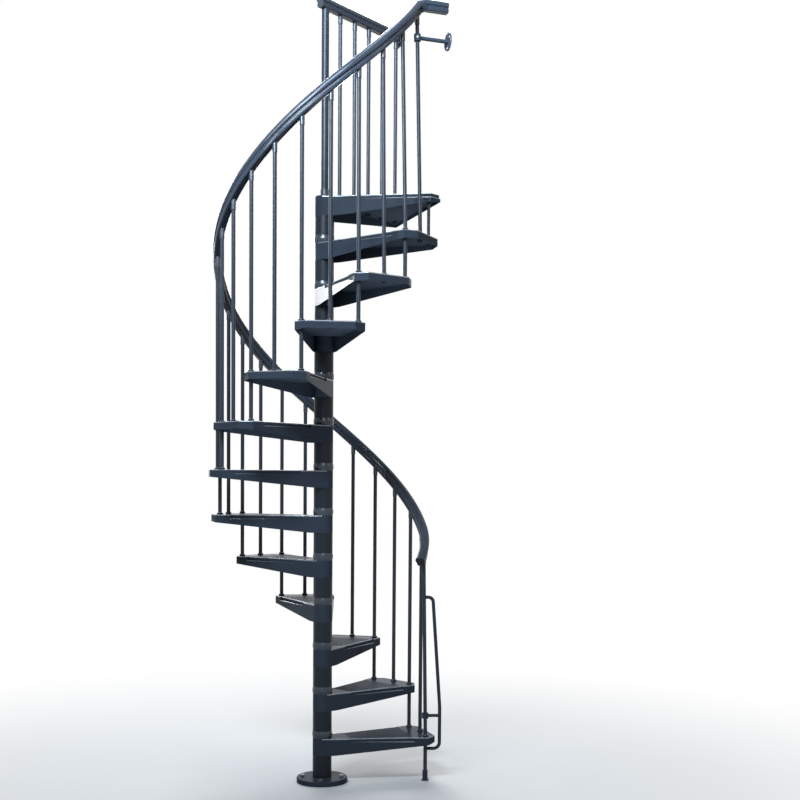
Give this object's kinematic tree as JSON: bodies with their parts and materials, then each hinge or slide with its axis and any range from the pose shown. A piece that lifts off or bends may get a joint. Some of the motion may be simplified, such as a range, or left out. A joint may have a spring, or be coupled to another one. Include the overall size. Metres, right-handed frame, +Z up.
{
  "type": "spiral staircase",
  "caption": "Outdoor metal spiral staircase: folded wedge treads stacked round a steel column, with slim balusters, a helical handrail, a top landing and a short guard.",
  "frame": {"origin": "the column's axis at the underside of the base plate", "axes": "+Z up along the column; +X square at the upright face that the landing, the guard and the handrail end on; seen from above the stair climbs anticlockwise from +X"},
  "size_m": [1.206, 1.1964, 4.066],
  "materials": {
    "stair_steel": "near-black powder coat with a faint blue cast, satin",
    "step_plate": "near-black powder coat, fine grain, satin",
    "rail_cover": "black, semi-gloss",
    "rail_cap": "black, matt"
  },
  "bodies": {
    "root": {"base_plate": "stair_steel", "column_spacers": "stair_steel", "column_collars": "stair_steel", "centre_pole": "stair_steel", "tread_01": "stair_steel", "tread_02": "stair_steel", "tread_03": "stair_steel", "tread_04": "stair_steel", "tread_05": "stair_steel", "tread_06": "stair_steel", "tread_07": "stair_steel", "tread_08": "stair_steel", "tread_09": "stair_steel", "tread_10": "stair_steel", "tread_11": "stair_steel", "tread_12": "stair_steel", "walking_plates": "step_plate", "end_blocks": "stair_steel", "landing_frame": "stair_steel", "landing_plate": "step_plate", "mid_balusters": "stair_steel", "corner_balusters": "stair_steel", "support_leg": "stair_steel", "landing_strut": "stair_steel", "baluster_collars": "stair_steel", "baluster_nuts": "stair_steel", "baluster_heads": "stair_steel", "handrail": "rail_cover", "rail_knuckle": "rail_cover", "handrail_end": "rail_cover", "rail_end_caps": "rail_cap", "guard_rail": "rail_cover", "guard_flange": "stair_steel", "guard_balusters": "stair_steel", "foot_loop": "stair_steel", "loop_tie": "stair_steel", "wall_arm": "stair_steel", "wall_flange": "stair_steel"}
  },
  "joints": []
}
